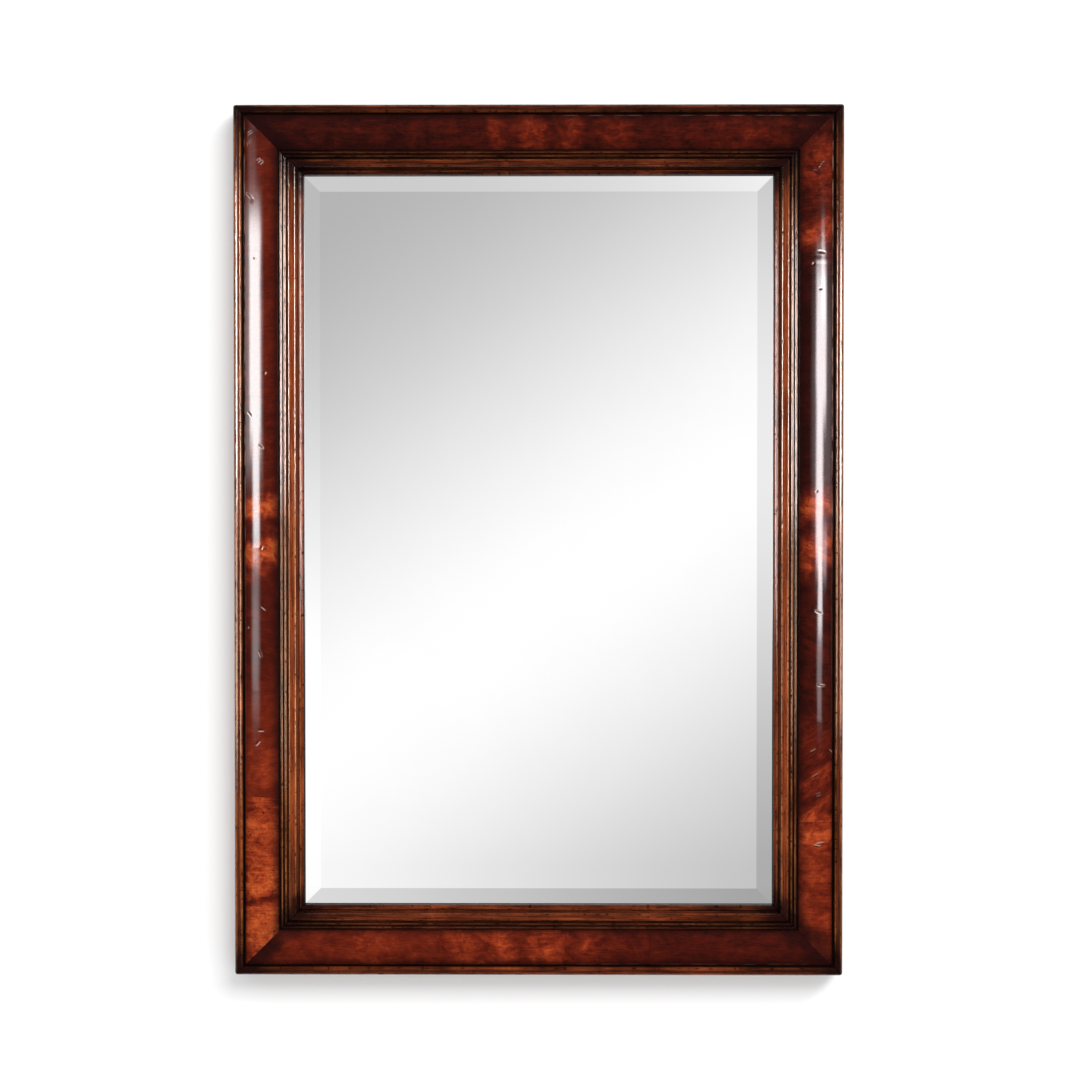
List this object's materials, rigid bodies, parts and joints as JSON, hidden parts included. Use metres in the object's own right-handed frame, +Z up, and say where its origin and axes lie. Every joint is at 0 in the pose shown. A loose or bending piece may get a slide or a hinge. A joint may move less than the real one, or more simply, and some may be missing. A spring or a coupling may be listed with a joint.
{
  "type": "wall mirror",
  "caption": "Tall wall mirror: a bevelled plate in a convex cushion frame of figured red mahogany veneer with reeded inner mouldings, hung by swinging D-rings on its back.",
  "frame": {"origin": "Middle of the wall plane: halfway across and halfway up the frame, in the plane of the wall pads' rear faces.", "axes": "+X to the right as the front is seen, +Y into the wall, +Z up. The mirror faces -Y."},
  "size_m": [0.762, 0.0471, 1.089],
  "materials": {
    "moulding_mahogany": "dark mahogany, waxed and rubbed, with dark wax in the grooves",
    "veneer_mahogany": "figured red mahogany, glossy, with dents and wear",
    "ground_pine": "planed, unfinished",
    "spline_beech": "planed, unfinished",
    "plywood": "sanded, unfinished",
    "mirror_glass": "polished",
    "felt": "pressed felt",
    "hanger_steel": "zinc plated",
    "screw_steel": "yellow zinc plated",
    "pad_rubber": "matt"
  },
  "bodies": {
    "frame": {"backboard": "plywood", "backboard_screws": "screw_steel", "backing_felt": "felt", "cushion_ground_bottom": "ground_pine", "cushion_ground_left": "ground_pine", "cushion_ground_right": "ground_pine", "cushion_ground_top": "ground_pine", "cushion_veneer_bottom": "veneer_mahogany", "cushion_veneer_left": "veneer_mahogany", "cushion_veneer_right": "veneer_mahogany", "cushion_veneer_top": "veneer_mahogany", "hanger_screws": "screw_steel", "hanger_strap_left": "hanger_steel", "hanger_strap_right": "hanger_steel", "inner_moulding_bottom": "moulding_mahogany", "inner_moulding_left": "moulding_mahogany", "inner_moulding_right": "moulding_mahogany", "inner_moulding_top": "moulding_mahogany", "mirror_plate": "mirror_glass", "mitre_spline_bottom_left": "spline_beech", "mitre_spline_bottom_right": "spline_beech", "mitre_spline_top_left": "spline_beech", "mitre_spline_top_right": "spline_beech", "outer_bead_bottom": "moulding_mahogany", "outer_bead_left": "moulding_mahogany", "outer_bead_right": "moulding_mahogany", "outer_bead_top": "moulding_mahogany", "setting_blocks": "ground_pine", "sight_slip_bottom": "moulding_mahogany", "sight_slip_left": "moulding_mahogany", "sight_slip_right": "moulding_mahogany", "sight_slip_top": "moulding_mahogany", "wall_pad_bottom_left": "pad_rubber", "wall_pad_bottom_right": "pad_rubber", "wall_pad_top_left": "pad_rubber", "wall_pad_top_right": "pad_rubber"},
    "left_ring": {"d_ring_left": "hanger_steel"},
    "right_ring": {"d_ring_right": "hanger_steel"}
  },
  "joints": [
    {"name": "d_ring_left_swing", "type": "hinge", "parent": "frame", "child": "left_ring", "pos_m": [-0.34685, -0.00438, 0.3245], "axis": [-1, 0, 0], "range_deg": [0, 175]},
    {"name": "d_ring_right_swing", "type": "hinge", "parent": "frame", "child": "right_ring", "pos_m": [0.34685, -0.00438, 0.3245], "axis": [-1, 0, 0], "range_deg": [0, 175]}
  ]
}
